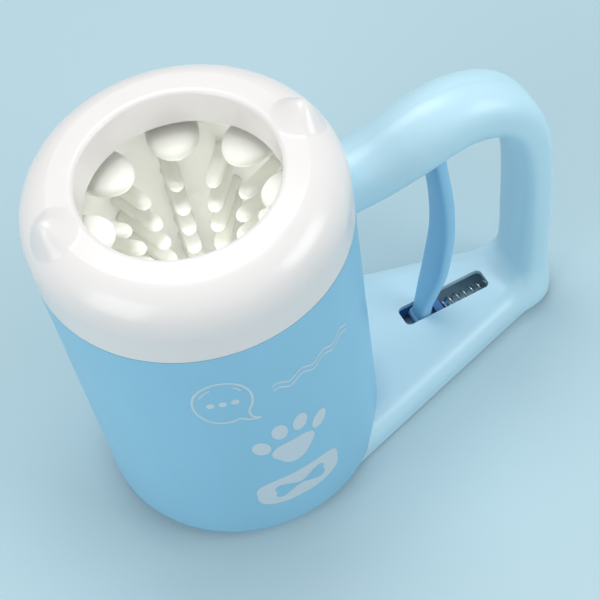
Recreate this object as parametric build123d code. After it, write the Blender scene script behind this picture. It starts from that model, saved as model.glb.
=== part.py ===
from build123d import *
import math
import os

# Paw washer cup: a blue cup with a white lift-off collar, a rotating brush inside and a side handle.
# Squeezing the trigger pulls a rack, which turns a gear train and so the brush.
# Millimetres. The origin is on the cup's axis at the surface it stands on, +Z is up, the handle is at +X.

# ---- driving dimensions ----
R_TOP = 50.0            # cup, outside radius under the collar
R_FOOT = 48.0           # cup, outside radius at the foot
Z_FOOT = 3.0            # underside of the cup, on top of the base cover
Z_RIM = 113.4           # shoulder that carries the collar
Z_NECK = 123.2          # top of the neck inside the collar
WALL = 2.4              # cup wall
Z_FLOOR = 22.0          # underside of the cup's inner floor
FOOT_FILLET = 2.5
NECK_R = 47.2
NECK_BORE_R = 44.9      # inside of the cup where the drum goes in
SEAL_Z = 119.4          # middle of the collar's seal
BOSS_Z = 15.4           # lower ends of the bearing boss and the axle boss
SCREW_POST_R = 4.0
SCREW_POST_Z = 5.2      # where the cup's screw posts meet those of the base cover

OPENING_R = 31.0        # paw opening, and the inside of the skirt under it
SKIRT_WALL = 2.0
SKIRT_Z = 125.0         # lower edge of that skirt
COLLAR_TOP = 139.1
BULGE_Z = 124.6         # height of the collar's widest ring
SHOULDER_R = 14.5       # radius of the collar's round shoulder
COLLAR_WALL = 2.2
COLLAR_OUT_R = R_TOP + 0.15
EAR_FOOT_R = 9.6        # round foot of an ear, sunk into the collar
EAR_HEIGHT = 10.4
EAR_FOOT = (37.4, 134.2)  # middle of that foot: distance from the axis, and height
EAR_LEAN = 27.0         # degrees that an ear leans outward

BASE_R = 44.4           # base under the cup
TIP_X = 106.5           # centre of the base's outer end
TIP_R = 14.0
Z_COVER = 0.6           # underside of the base cover, above the pads
FAIRING_Z = 11.8        # top of the low part between cup and grip
FAIRING_FILLET = 6.0
SHELL = 1.8             # wall of the handle shells
PAD_R = 36.0            # round pad under the cup
PAD_THICK = 1.6
TIP_PAD_R = 7.0         # small pad under the grip
TIP_PAD_X = 104.0
PAD_GAP = 0.3           # gap round a pad in its recess
RECESS_Z = 1.6

PIVOT = (82.5, 101.5)   # trigger pivot, x and z
LEVER = 95.0            # pivot to link pin
HALF_SWING = 6.0        # degrees either side of upright
LEVER_WIDTH = 12.0
LEVER_FOOT = 7.4        # lever width where it enters the slot
SLOT_HALF = 4.2
SLOT_X = (65.5, 99.5)
PIN_R = 1.5
PIN_HALF = 9.4
LINK_R = 1.25
LINK_HALF = 6.4
LEVER_HUB_R = 5.0
LEVER_END_R = 2.9

MODULE = 1.0
SPINDLE_TEETH = 16
WHEEL_TEETH = 32
PINION_TEETH = 12
RACK_Z = (4.6, 9.6)
RACK_BACK_Y = 11.5      # smooth back of the rack, which slides on a rail
FRAME_X = (61.0, 81.0)  # frame at the rack's end, round the lever's foot
FRAME_HALF = 6.6
RACK_BODY_X = (-5.0, 62.5)
WHEEL_Z = (10.6, 14.6)
SPINDLE_R = 3.0
JOURNAL_R = 2.5         # spindle's foot, in the base cover
AXLE_R = 2.0
AXLE_Z = (2.6, 19.4)
BUSH_R = 6.0
BUSH_TOP = 21.4
SPINDLE_SEAL_R = 7.2
SPINDLE_SEAL_TOP = 24.2
RUN = 0.05              # radial running clearance

SPRING_X = (81.0, 108.0)
SPRING_Z = 6.3
SPRING_R = 2.35         # middle of the wire
SPRING_WIRE = 0.35      # radius of the wire
SPRING_TURNS = 9
SPIGOT_R = 1.6          # spigots that hold the spring's ends
SPIGOT_LENGTH = 3.0

DRUM_R = 41.5
DRUM_WALL = 2.0
DRUM_Z = (26.0, 124.0)
DRUM_BOSS_R = 13.0
DRUM_BOSS_TOP = 37.0
LINER = 2.2             # thickness of the silicone liner
HUB_FLATS = 18.0
HUB_Z = (25.0, 33.9)
SPINDLE_TOP = 30.4
HUB_SCREW_Z = 31.8
HUB_SCREW_R = 1.0
HUB_SCREW_LENGTH = 8.0

LOBES = 8
LOBE_PHASE = 28.5
LOBE_TIP = 22.5
LOBE_WIDTH = 17.0
LOBE_THICK = 5.4
LOBE_Z = 119.0
FINGERS = 12
FINGER_PHASE = 20.0
FINGER_TIPS = (20.5, 17.5, 16.0, 15.0, 15.0, 15.0, 15.0, 15.0, 15.0)
FINGER_WIDTH = 5.4
FINGER_THICK = 3.4
FINGER_TOP_Z = 107.0
FINGER_PITCH = 8.5

# ---- values worked out from them ----
HALF_TRAVEL = LEVER * math.sin(math.radians(HALF_SWING))
LINK_X = PIVOT[0] - HALF_TRAVEL
LINK_Z = PIVOT[1] - LEVER * math.cos(math.radians(HALF_SWING))
LINK_LOW = PIVOT[1] - LEVER
WHEEL_X = MODULE * (SPINDLE_TEETH + WHEEL_TEETH) / 2
PINION_PITCH_R = MODULE * PINION_TEETH / 2

# Centreline of the handle: x, z, heading in degrees, thickness in the handle's plane, width across it.
HANDLE = (
    (42.0, 100.5, 0, 21.5, 22.5),
    (52.0, 100.7, 2, 21.5, 22.5),
    (62.0, 101.8, 9, 23.0, 23.5),
    (73.0, 104.4, 15, 24.6, 24.6),
    (83.5, 106.8, 9, 24.0, 24.6),
    (93.5, 107.3, -6, 21.5, 24.0),
    (103.5, 104.0, -28, 18.5, 23.4),
    (111.0, 97.2, -52, 16.0, 22.8),
    (115.7, 87.5, -72, 14.0, 22.3),
    (117.6, 75.0, -86, 13.0, 22.0),
    (117.8, 60.0, -91, 12.5, 22.0),
    (117.0, 40.0, -93, 12.5, 22.0),
    (116.0, 22.0, -93, 12.8, 22.0),
    (114.8, 11.0, -97, 14.5, 23.0),
    (112.5, 4.0, -105, 17.0, 24.0),
)
# Centreline of the lever when it hangs straight down: offset towards the grip, drop below the pivot,
# thickness, width.
LEVER_LINE = (
    (0.6, 4.0, 6.0, LEVER_WIDTH),
    (2.6, 15.0, 5.6, LEVER_WIDTH),
    (5.6, 32.0, 5.6, LEVER_WIDTH),
    (6.8, 50.0, 5.6, LEVER_WIDTH),
    (5.2, 68.0, 5.6, LEVER_WIDTH),
    (2.8, 79.0, 5.4, 9.6),
    (1.2, 86.0, 5.2, LEVER_FOOT),
    (0.2, 93.0, 5.0, LEVER_FOOT),
)

LUG = (57.0, 101.2)     # screw through the lug, x and z
LUG_R = 6.0
LUG_X = (47.4, 62.4)
HANDLE_SCREWS = (LUG, (104.5, 102.2), (117.6, 70.0), (116.4, 30.0))
SCREW_HEAD_R = 2.6
SCREW_SHANK_R = 1.3
HEAD_SEAT_Y = 6.8       # where the heads of the handle's screws sit
HEAD_GAP = 0.2
CUP_SCREW_SEAT = 3.8
FAIRING_SCREW_SEAT = 2.8
FAIRING_POST_Z = 4.2
CUP_SCREW_R = 32.0      # distance of the cup's screws from the axis
CUP_SCREW_ANGLES = (70.0, 180.0, 290.0)
CUP_SCREWS = tuple(
    (CUP_SCREW_R * math.cos(math.radians(a)), CUP_SCREW_R * math.sin(math.radians(a)))
    for a in CUP_SCREW_ANGLES
)
FAIRING_SCREWS = ((87.0, 13.6), (87.0, -13.6))

os.makedirs("parts", exist_ok=True)


def save(shape, node):
    """Write one sub-part to its own file."""
    export_step(shape, f"parts/{node}.step")


def ring(r_out, r_in, z0, z1):
    """Plain ring about the cup's axis."""
    solid = Pos(0, 0, z0) * extrude(Circle(r_out), z1 - z0)
    if r_in > 0:
        solid -= Pos(0, 0, z0) * extrude(Circle(r_in), z1 - z0)
    return solid


def post(x, y, r, z0, z1):
    """Upright cylinder."""
    return Pos(x, y, z0) * extrude(Circle(r), z1 - z0)


def cross(x, z, r, y0, y1):
    """Cylinder that lies along Y."""
    plane = Plane(origin=(x, y0, z), x_dir=(1, 0, 0), z_dir=(0, 1, 0))
    return extrude(plane * Circle(r), y1 - y0)


def block(x0, x1, y0, y1, z0, z1):
    """Box between two corners."""
    return Pos((x0 + x1) / 2, (y0 + y1) / 2, (z0 + z1) / 2) * Box(x1 - x0, y1 - y0, z1 - z0)


def turned(points):
    """Solid of revolution from a closed outline of (radius, height) points."""
    face = make_face(Plane.XZ * Polyline(*points, close=True))
    return revolve(face, Axis.Z)


def along(stations, inset=0.0, corner=0.46):
    """Solid through rounded sections; inset makes the same shape smaller all round."""
    sections = []
    for x, z, heading, thick, width in stations:
        a = math.radians(heading)
        plane = Plane(origin=(x, 0, z), x_dir=(0, 1, 0), z_dir=(math.cos(a), 0, math.sin(a)))
        w = width - 2 * inset
        t = thick - 2 * inset
        sections.append(plane * RectangleRounded(w, t, corner * min(w, t)))
    return loft(sections)


def teardrop(inset, z0, z1):
    """Base outline: a round under the cup, drawn out to a smaller round at the handle."""
    big = BASE_R - inset
    small = TIP_R - inset
    turn = math.acos((BASE_R - TIP_R) / TIP_X)
    a = (big * math.cos(turn), big * math.sin(turn))
    b = (TIP_X + small * math.cos(turn), small * math.sin(turn))
    edge = [
        ThreePointArc((a[0], -a[1]), (-big, 0), a),
        Line(a, b),
        ThreePointArc(b, (TIP_X + small, 0), (b[0], -b[1])),
        Line((b[0], -b[1]), (a[0], -a[1])),
    ]
    return Pos(0, 0, z0) * extrude(make_face(edge), z1 - z0)


def cup_radius(z):
    """Outside radius of the cup at a height."""
    return R_FOOT + (R_TOP - R_FOOT) * (z - Z_FOOT) / (Z_RIM - Z_FOOT)


def cup_outside(grow=0.0):
    """The cup's outer form as a full solid, with its rounded foot."""
    solid = turned(
        [
            (0, Z_FOOT),
            (R_FOOT + grow, Z_FOOT),
            (R_TOP + grow, Z_RIM),
            (0, Z_RIM),
        ]
    )
    return fillet(solid.edges().filter_by(GeomType.CIRCLE).sort_by(Axis.Z)[0], FOOT_FILLET)


def rack_window():
    """Way for the rack and its rails through the foot of the cup."""
    return block(40.0, 54.0, -1.5, 13.6, Z_FOOT, 10.4)


def cup_lug():
    """Lug on the cup that the upper arm of the handle clamps and screws to."""
    plane = Plane(origin=(LUG_X[0], 0, LUG[1]), x_dir=(0, 1, 0), z_dir=(1, 0, 0))
    return extrude(plane * Circle(LUG_R), LUG_X[1] - LUG_X[0])


def gear(teeth, z0, z1, phase=0.0):
    """Spur gear with straight-sided teeth, a little thin so that a pair turns freely."""
    pitch_r = MODULE * teeth / 2
    tip = pitch_r + 0.85 * MODULE
    root = pitch_r - 1.15 * MODULE
    step = 360 / teeth
    points = []
    for k in range(teeth):
        centre = k * step + phase
        for r, part in ((root, -0.36), (tip, -0.13), (tip, 0.13), (root, 0.36)):
            a = math.radians(centre + part * step)
            points.append((r * math.cos(a), r * math.sin(a)))
    face = make_face(Polyline(*points, close=True))
    return Pos(0, 0, z0) * extrude(face, z1 - z0)


def screw(length, head_r, shank_r, head_h=2.0):
    """Cross-head screw whose head stands on +Z, with the underside of the head at the origin."""
    solid = extrude(Circle(head_r), head_h) + Pos(0, 0, -length) * extrude(Circle(shank_r), length)
    solid = fillet(solid.edges().filter_by(GeomType.CIRCLE).sort_by(Axis.Z)[-1], 0.5)
    for turn in (0, 90):
        solid -= Rot(0, 0, turn) * Pos(0, 0, head_h) * Box(head_r * 1.1, 0.6, 1.4)
    return solid


# ---- cup ----
def make_cup_body():
    inner_foot = R_FOOT - WALL
    cup = cup_outside() + ring(NECK_R, 0, Z_RIM, Z_NECK)
    well = turned(
        [
            (0, Z_FLOOR + WALL),
            (cup_radius(Z_FLOOR + WALL) - WALL, Z_FLOOR + WALL),
            (NECK_BORE_R, Z_RIM - 4),
            (NECK_BORE_R, Z_NECK),
            (0, Z_NECK),
        ]
    )
    chamber = turned(
        [
            (0, Z_FOOT),
            (inner_foot - 2.0, Z_FOOT),
            (inner_foot, Z_FOOT + 4),
            (inner_foot, Z_FLOOR),
            (0, Z_FLOOR),
        ]
    )
    cup -= well
    cup -= chamber
    # bearing boss, wheel axle boss and the three screw bosses under the floor
    cup += ring(BUSH_R + 3.5, 0, BOSS_Z, Z_FLOOR)
    cup += post(WHEEL_X, 0, AXLE_R + 2.5, BOSS_Z, Z_FLOOR)
    cup -= post(WHEEL_X, 0, AXLE_R, BOSS_Z, AXLE_Z[1] + 0.2)
    for x, y in CUP_SCREWS:
        cup += post(x, y, SCREW_POST_R, SCREW_POST_Z, Z_FLOOR)
        cup -= post(x, y, SCREW_SHANK_R, SCREW_POST_Z, 17.0)
    cup -= ring(BUSH_R, 0, BOSS_Z, BUSH_TOP)
    cup -= ring(SPINDLE_SEAL_R, 0, BUSH_TOP, Z_FLOOR + WALL)
    # groove for the collar's seal
    cup -= ring(NECK_R + 1, NECK_R - 1.2, SEAL_Z - 0.8, SEAL_Z + 0.8)
    cup -= rack_window()
    cup += cup_lug()
    cup -= cross(LUG[0], LUG[1], SCREW_SHANK_R, -LUG_R - 2, LUG_R + 2)
    return cup


def on_arc(middle, radius, degrees):
    """Point at an angle on a circle in the collar's section, as (radius, height)."""
    a = math.radians(degrees)
    return (middle[0] + radius * math.cos(a), middle[1] + radius * math.sin(a))


def make_collar():
    shoulder = (COLLAR_OUT_R - SHOULDER_R, BULGE_Z)
    bore = NECK_R + 0.1
    skirt_out = OPENING_R + SKIRT_WALL
    skirt_top = (skirt_out + 0.2, 133.0)
    rim_in = (OPENING_R, COLLAR_TOP - 2.2)
    rim_top = (OPENING_R + 1.6, COLLAR_TOP - 0.4)
    crown = (shoulder[0], COLLAR_TOP)
    ceiling = (shoulder[0] + 0.6, COLLAR_TOP - COLLAR_WALL)
    bore_top = (bore, BULGE_Z - 0.6)
    foot_z = Z_RIM + 0.1
    section = [
        Line((R_TOP, foot_z), (COLLAR_OUT_R, BULGE_Z)),
        ThreePointArc((COLLAR_OUT_R, BULGE_Z), on_arc(shoulder, SHOULDER_R, 45), crown),
        Line(crown, rim_top),
        ThreePointArc(rim_top, (OPENING_R + 0.4, COLLAR_TOP - 1.0), rim_in),
        Line(rim_in, (OPENING_R, SKIRT_Z)),
        Line((OPENING_R, SKIRT_Z), (skirt_out, SKIRT_Z)),
        Line((skirt_out, SKIRT_Z), skirt_top),
        ThreePointArc(skirt_top, (skirt_out + 1.2, 135.6), ceiling),
        ThreePointArc(ceiling, on_arc(shoulder, SHOULDER_R - 3.0, 45), bore_top),
        Line(bore_top, (bore, foot_z)),
        Line((bore, foot_z), (R_TOP, foot_z)),
    ]
    collar = revolve(Plane.XZ * make_face(section), Axis.Z)
    # two small rounded ears, one over the handle and one opposite
    flank = Spline(
        (EAR_FOOT_R, 0), (6.2, 3.9), (3.9, 7.4), (2.3, 9.6), (0, EAR_HEIGHT), tangents=[(-0.6, 1), (-1, 0)]
    )
    ear_section = [Line((0, 0), (EAR_FOOT_R, 0)), flank, Line((0, EAR_HEIGHT), (0, 0))]
    ear = revolve(Plane.XZ * make_face(ear_section), Axis.Z)
    ear = Pos(EAR_FOOT[0], 0, EAR_FOOT[1]) * Rot(0, EAR_LEAN, 0) * ear
    ear -= ring(bore, skirt_out + 0.2, Z_RIM, 131.5)
    return collar + ear + mirror(ear, Plane.YZ)


def make_collar_seal():
    section = Plane.XZ * Pos(NECK_R - 0.57, SEAL_Z) * Circle(0.62)
    return revolve(section, Axis.Z)


# ---- base ----
def make_base_cover():
    cover = teardrop(0.0, Z_COVER, Z_FOOT)
    cover = chamfer(cover.faces().sort_by(Axis.Z)[0].edges(), 0.5)
    # raised seats round the screws, the spindle's foot bearing and the wheel axle's seat
    for x, y in CUP_SCREWS:
        cover += post(x, y, SCREW_POST_R, Z_FOOT, SCREW_POST_Z)
        cover -= post(x, y, SCREW_SHANK_R, Z_COVER, SCREW_POST_Z)
        cover -= post(x, y, SCREW_HEAD_R + HEAD_GAP, Z_COVER, CUP_SCREW_SEAT)
    for x, y in FAIRING_SCREWS:
        cover += post(x, y, 3.4, Z_FOOT, FAIRING_POST_Z)
        cover -= post(x, y, SCREW_SHANK_R, Z_COVER, FAIRING_POST_Z)
        cover -= post(x, y, SCREW_HEAD_R + HEAD_GAP, Z_COVER, FAIRING_SCREW_SEAT)
    cover += ring(4.4, 0, Z_FOOT, 8.0)
    cover -= ring(JOURNAL_R + RUN, 0, 3.6, 8.0)
    cover += post(WHEEL_X, 0, 3.4, Z_FOOT, 4.0)
    cover -= post(WHEEL_X, 0, AXLE_R, AXLE_Z[0], 4.0)
    # two rails that guide the rack, one behind it and one inside its frame's end
    rail_top = RACK_Z[1] - 2.0
    cover += block(33.0, 60.0, RACK_BACK_Y + 0.4, RACK_BACK_Y + 1.7, Z_FOOT, rail_top)
    cover += block(54.5, 60.0, 5.6, 7.0, Z_FOOT, rail_top)
    # recesses for the two pads
    cover -= ring(PAD_R + PAD_GAP, 0, Z_COVER, RECESS_Z)
    cover -= post(TIP_PAD_X, 0, TIP_PAD_R + PAD_GAP - 0.1, Z_COVER, RECESS_Z)
    return cover


def make_pads():
    pad = ring(PAD_R, 0, 0, PAD_THICK)
    tip = post(TIP_PAD_X, 0, TIP_PAD_R, 0, PAD_THICK)
    return [fillet(p.edges().sort_by(Axis.Z)[0], 0.4) for p in (pad, tip)]


# ---- handle ----
def make_handle_shells():
    fairing = teardrop(0.0, Z_FOOT, FAIRING_Z)
    top_edges = fairing.faces().sort_by(Axis.Z)[-1].edges()
    fairing = fillet(top_edges, FAIRING_FILLET)
    outside = fairing + along(HANDLE)
    below = block(-60, 140, -60, 60, -20, Z_FOOT)
    outside -= below
    outside -= cup_outside()
    outside -= ring(R_TOP + 5, 0, 60, Z_RIM) & block(0, R_TOP, -60, 60, 60, Z_RIM)
    cavity = teardrop(SHELL + 0.4, Z_FOOT, FAIRING_Z - SHELL)
    cavity -= cup_outside(grow=SHELL)
    cavity = cavity + (along(HANDLE[1:], inset=SHELL + 0.2) - below)
    shell = outside - cavity
    # bosses across the handle for its screws and for the trigger pivot
    wide = 11.0
    boss_r = SCREW_SHANK_R + 1.8
    bosses = cross(PIVOT[0], PIVOT[1], PIN_R + 2.5, -wide, wide)
    for x, z in HANDLE_SCREWS[1:]:
        bosses += cross(x, z, boss_r, -wide, wide)
    for x, y in FAIRING_SCREWS:
        bosses += post(x, y, 3.0, FAIRING_POST_Z, FAIRING_Z - 1)
    shell += bosses & outside
    # seats beside the cup's lug, and the way for the rack
    shell -= cup_lug()
    shell -= rack_window()
    shell += (cross(*LUG, boss_r, LUG_R, wide) + cross(*LUG, boss_r, -wide, -LUG_R)) & outside
    # trigger: gap under the arm and slot in the fairing
    head = LEVER_WIDTH / 2 + 0.4
    shell -= block(74.5, 91.0, -head, head, 88.0, 101.0)
    shell -= cross(PIVOT[0], PIVOT[1], LEVER_HUB_R + 2.0, -head, head)
    slot = RectangleRounded(SLOT_X[1] - SLOT_X[0], 2 * SLOT_HALF, 2.0)
    shell -= Pos(sum(SLOT_X) / 2, 0, 8.0) * extrude(slot, 8.0)
    shell -= cross(PIVOT[0], PIVOT[1], PIN_R, -PIN_HALF, PIN_HALF)
    # screw holes, entered from the left side
    for x, z in HANDLE_SCREWS:
        shell -= cross(x, z, SCREW_SHANK_R, -8.0, 8.0)
        shell -= cross(x, z, SCREW_HEAD_R + HEAD_GAP, HEAD_SEAT_Y, 14.0)
    for x, y in FAIRING_SCREWS:
        shell -= post(x, y, SCREW_SHANK_R, FAIRING_POST_Z, 9.6)
    left = shell & block(0, 140, 0, 60, 0, 140)
    right = shell & block(0, 140, -60, 0, 0, 140)
    return left, right


def make_handle_screws():
    group = []
    for x, z in HANDLE_SCREWS:
        plane = Plane(origin=(x, HEAD_SEAT_Y, z), x_dir=(1, 0, 0), z_dir=(0, 1, 0))
        group.append(plane * screw(14.6, SCREW_HEAD_R, SCREW_SHANK_R))
    return Compound(children=group)


def make_base_screws():
    head_down = Rot(180, 0, 0)
    long_screw = head_down * screw(13.0, SCREW_HEAD_R, SCREW_SHANK_R)
    short_screw = head_down * screw(6.6, SCREW_HEAD_R, SCREW_SHANK_R)
    group = [Pos(x, y, CUP_SCREW_SEAT) * long_screw for x, y in CUP_SCREWS]
    group += [Pos(x, y, FAIRING_SCREW_SEAT) * short_screw for x, y in FAIRING_SCREWS]
    return Compound(children=group)


# ---- trigger ----
def at_rest(shape):
    """Swing a piece drawn hanging straight down to the released position."""
    return Pos(PIVOT[0], 0, PIVOT[1]) * Rot(0, HALF_SWING, 0) * shape


def make_trigger_lever():
    stations = []
    for k, (offset, drop, thick, width) in enumerate(LEVER_LINE):
        before = LEVER_LINE[max(k - 1, 0)]
        after = LEVER_LINE[min(k + 1, len(LEVER_LINE) - 1)]
        heading = math.degrees(math.atan2(before[1] - after[1], after[0] - before[0]))
        stations.append((offset, -drop, heading, thick, width))
    lever = along(stations, corner=0.4)
    half = LEVER_WIDTH / 2
    lever += cross(0, 0, LEVER_HUB_R, -half, half)
    lever += cross(0, -LEVER, LEVER_END_R, -LEVER_FOOT / 2, LEVER_FOOT / 2)
    lever -= cross(0, 0, PIN_R + RUN, -half, half)
    lever -= cross(0, -LEVER, LINK_R, -half, half)
    return at_rest(lever)


# ---- gear train ----
def make_drive_rack():
    root_y = PINION_PITCH_R + 1.15 * MODULE
    z0, z1 = RACK_Z
    # toothed bar, the frame that the lever's foot works in, and the corner that joins them
    rack = block(*RACK_BODY_X, root_y, RACK_BACK_Y, z0, z1)
    frame = block(*FRAME_X, -FRAME_HALF, FRAME_HALF, z0, z1)
    frame -= block(65.5, 78.0, -LEVER_FOOT / 2 - 0.3, LEVER_FOOT / 2 + 0.3, z0, z1)
    rack += frame
    rack += block(FRAME_X[0], FRAME_X[0] + 2.5, 6.0, RACK_BACK_Y, z0, z1)
    pitch = math.pi * MODULE
    for k in range(-9, 3):
        x = WHEEL_X + k * pitch + pitch / 2
        tooth = [
            (x - 0.36 * pitch, root_y + 0.2),
            (x - 0.13 * pitch, PINION_PITCH_R - 0.85 * MODULE),
            (x + 0.13 * pitch, PINION_PITCH_R - 0.85 * MODULE),
            (x + 0.36 * pitch, root_y + 0.2),
        ]
        rack += Pos(0, 0, z0) * extrude(make_face(Polyline(*tooth, close=True)), z1 - z0)
    # upright slot for the link pin, and the spring's spigot
    gap = LINK_R + 0.18
    low = LINK_LOW - 0.1
    high = LINK_Z + 0.1
    rack -= cross(LINK_X, low, gap, -8, 12) + cross(LINK_X, high, gap, -8, 12)
    rack -= block(LINK_X - gap, LINK_X + gap, -8, 12, low, high)
    return rack + spigot(SPRING_X[0], SPIGOT_LENGTH)


def spigot(x, length):
    """Short round spigot along the spring's axis."""
    plane = Plane(origin=(x, 0, SPRING_Z), x_dir=(0, 1, 0), z_dir=(1, 0, 0))
    return extrude(plane * Circle(SPIGOT_R), length)


def make_return_spring():
    start = SPRING_X[0] + SPRING_WIRE
    length = SPRING_X[1] - SPRING_X[0] - 2 * SPRING_WIRE
    path = Helix(
        pitch=length / SPRING_TURNS,
        height=length,
        radius=SPRING_R,
        center=(start, 0, SPRING_Z),
        direction=(1, 0, 0),
    )
    section = Plane(origin=path @ 0, z_dir=path % 0) * Circle(SPRING_WIRE)
    return sweep(section, path=path)


def make_spring_seat():
    x = SPRING_X[1]
    return block(x, x + 1.6, -4.5, 4.5, Z_FOOT, 9.4) + spigot(x, -SPIGOT_LENGTH)


def make_gears():
    z0, z1 = WHEEL_Z
    half_tooth = 180 / SPINDLE_TEETH
    spindle = gear(SPINDLE_TEETH, z0, z1, phase=half_tooth)
    spindle += ring(JOURNAL_R, 0, 3.7, z0)
    spindle += ring(SPINDLE_R, 0, z1, SPINDLE_TOP)
    spindle -= ring(HUB_SCREW_R, 0, HUB_SCREW_Z - HUB_SCREW_LENGTH, SPINDLE_TOP)
    wheel = gear(WHEEL_TEETH, z0, z1, phase=180)
    pinion = gear(PINION_TEETH, 4.2, z0, phase=90)
    compound = wheel + pinion
    compound -= ring(AXLE_R + RUN, 0, 4.0, z1)
    compound += ring(3.6, AXLE_R + RUN, z1, BOSS_Z - 0.2)
    return spindle, Pos(WHEEL_X, 0, 0) * compound


# ---- brush ----
def make_drive_hub():
    z0, z1 = HUB_Z
    hub = Pos(0, 0, z0) * extrude(RegularPolygon(HUB_FLATS / 2, 6, major_radius=False), z1 - z0)
    hub = chamfer(hub.faces().sort_by(Axis.Z)[-1].edges(), 1.0)
    hub -= ring(SPINDLE_R, 0, z0, SPINDLE_TOP)
    hub -= ring(HUB_SCREW_R, 0, SPINDLE_TOP, z1)
    hub -= ring(2.0, 0, HUB_SCREW_Z, z1)
    return hub


def make_brush_drum():
    z0, z1 = DRUM_Z
    drum = ring(DRUM_R, DRUM_R - DRUM_WALL, z0, z1) + ring(DRUM_R, 0, z0, z0 + 2)
    drum += ring(DRUM_BOSS_R, 0, z0, DRUM_BOSS_TOP)
    drum -= Pos(0, 0, z0) * extrude(RegularPolygon(HUB_FLATS / 2 + 0.2, 6, major_radius=False), 34.0 - z0)
    window = Pos(DRUM_R, 0, 72.0) * Box(8, 7, 66)
    drains = Pos(27.0, 0, z0) * extrude(Circle(3.0), 2)
    for spot in PolarLocations(0, LOBES):
        drum -= spot * window
        drum -= spot * drains
    return drum


def tongue(tip_r, root_r, width, thick, z):
    """Flat tongue that points at the axis, with a round end."""
    end_r = width / 2
    plan = Pos((tip_r + end_r + root_r) / 2, 0) * Rectangle(root_r - tip_r - end_r, width)
    plan += Pos(tip_r + end_r, 0) * Circle(end_r)
    return Pos(0, 0, z - thick / 2) * extrude(plan, thick)


def make_silicone_brush():
    outer = DRUM_R - DRUM_WALL
    inner = outer - LINER
    z0, z1 = DRUM_Z
    root = inner + 0.8
    tongues = []
    lobe = tongue(LOBE_TIP, root, LOBE_WIDTH, LOBE_THICK, LOBE_Z)
    for k in range(LOBES):
        tongues.append(Rot(0, 0, LOBE_PHASE + k * 360 / LOBES) * lobe)
    for row, tip in enumerate(FINGER_TIPS):
        finger = tongue(tip, root, FINGER_WIDTH, FINGER_THICK, FINGER_TOP_Z - row * FINGER_PITCH)
        for k in range(FINGERS):
            tongues.append(Rot(0, 0, FINGER_PHASE + k * 360 / FINGERS) * finger)
    brush = ring(outer, inner, z0 + 2, z1 - 1.5) + ring(outer, DRUM_BOSS_R, z0 + 2, z0 + 4)
    return brush.fuse(*tongues)


def main():
    save(make_cup_body(), "cup_body")
    save(make_collar(), "collar")
    save(make_collar_seal(), "collar_seal")
    save(make_base_cover(), "base_cover")
    base_pad, tip_pad = make_pads()
    save(base_pad, "base_pad")
    save(tip_pad, "tip_pad")
    left, right = make_handle_shells()
    save(left, "handle_shell_left")
    save(right, "handle_shell_right")
    save(make_handle_screws(), "handle_screws")
    save(make_base_screws(), "base_screws")
    save(make_trigger_lever(), "trigger_lever")
    save(cross(PIVOT[0], PIVOT[1], PIN_R, -PIN_HALF, PIN_HALF), "lever_pivot_pin")
    save(cross(LINK_X, LINK_Z, LINK_R, -LINK_HALF, LINK_HALF), "link_pin")
    save(make_drive_rack(), "drive_rack")
    save(make_return_spring(), "return_spring")
    save(make_spring_seat(), "spring_seat")
    spindle, compound = make_gears()
    save(spindle, "spindle_gear")
    save(compound, "compound_gear")
    save(post(WHEEL_X, 0, AXLE_R, *AXLE_Z), "gear_axle")
    save(ring(BUSH_R, SPINDLE_R + RUN, BOSS_Z, BUSH_TOP), "spindle_bush")
    save(ring(SPINDLE_SEAL_R, SPINDLE_R + RUN, BUSH_TOP, SPINDLE_SEAL_TOP), "spindle_seal")
    save(make_drive_hub(), "drive_hub")
    save(Pos(0, 0, HUB_SCREW_Z) * screw(HUB_SCREW_LENGTH, 1.9, HUB_SCREW_R, 1.8), "hub_screw")
    save(make_brush_drum(), "brush_drum")
    save(make_silicone_brush(), "silicone_brush")


main()
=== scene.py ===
import math

import bpy
import numpy as np
from mathutils import Matrix, Vector


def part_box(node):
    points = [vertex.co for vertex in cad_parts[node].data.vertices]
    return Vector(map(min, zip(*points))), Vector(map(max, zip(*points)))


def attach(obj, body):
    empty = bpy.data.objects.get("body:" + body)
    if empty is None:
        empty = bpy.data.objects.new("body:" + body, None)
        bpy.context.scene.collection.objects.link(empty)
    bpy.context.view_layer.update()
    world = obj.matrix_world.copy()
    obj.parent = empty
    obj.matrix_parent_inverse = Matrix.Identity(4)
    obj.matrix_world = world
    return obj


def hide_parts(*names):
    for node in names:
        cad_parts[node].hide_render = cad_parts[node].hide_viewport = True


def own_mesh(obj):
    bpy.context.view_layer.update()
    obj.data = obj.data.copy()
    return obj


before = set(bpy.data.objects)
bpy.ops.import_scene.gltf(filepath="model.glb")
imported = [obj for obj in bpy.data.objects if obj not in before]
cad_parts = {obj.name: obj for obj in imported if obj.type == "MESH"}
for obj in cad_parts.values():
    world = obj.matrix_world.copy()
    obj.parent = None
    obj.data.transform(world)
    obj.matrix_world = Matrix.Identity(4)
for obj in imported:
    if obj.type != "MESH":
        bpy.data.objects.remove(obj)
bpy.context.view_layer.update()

# Paw washer cup. Shapes are worked out in millimetres in the part's own frame, and mesh_piece() turns them
# into metres. The origin is on the cup's axis at the surface that it stands on, +Z is up and the handle
# is at +X.

MM = 0.001


def box_mm(node):
    """Lowest and highest corner of a CAD node, in millimetres."""
    low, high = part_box(node)
    return np.array(low) / MM, np.array(high) / MM


# ---- sizes taken from the frame ----
collar_low, collar_high = box_mm("collar")
cup_low = box_mm("cup_body")[0]
drum_low, drum_high = box_mm("brush_drum")
spring_low, spring_high = box_mm("return_spring")
pin_low, pin_high = box_mm("lever_pivot_pin")
link_low, link_high = box_mm("link_pin")

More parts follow.
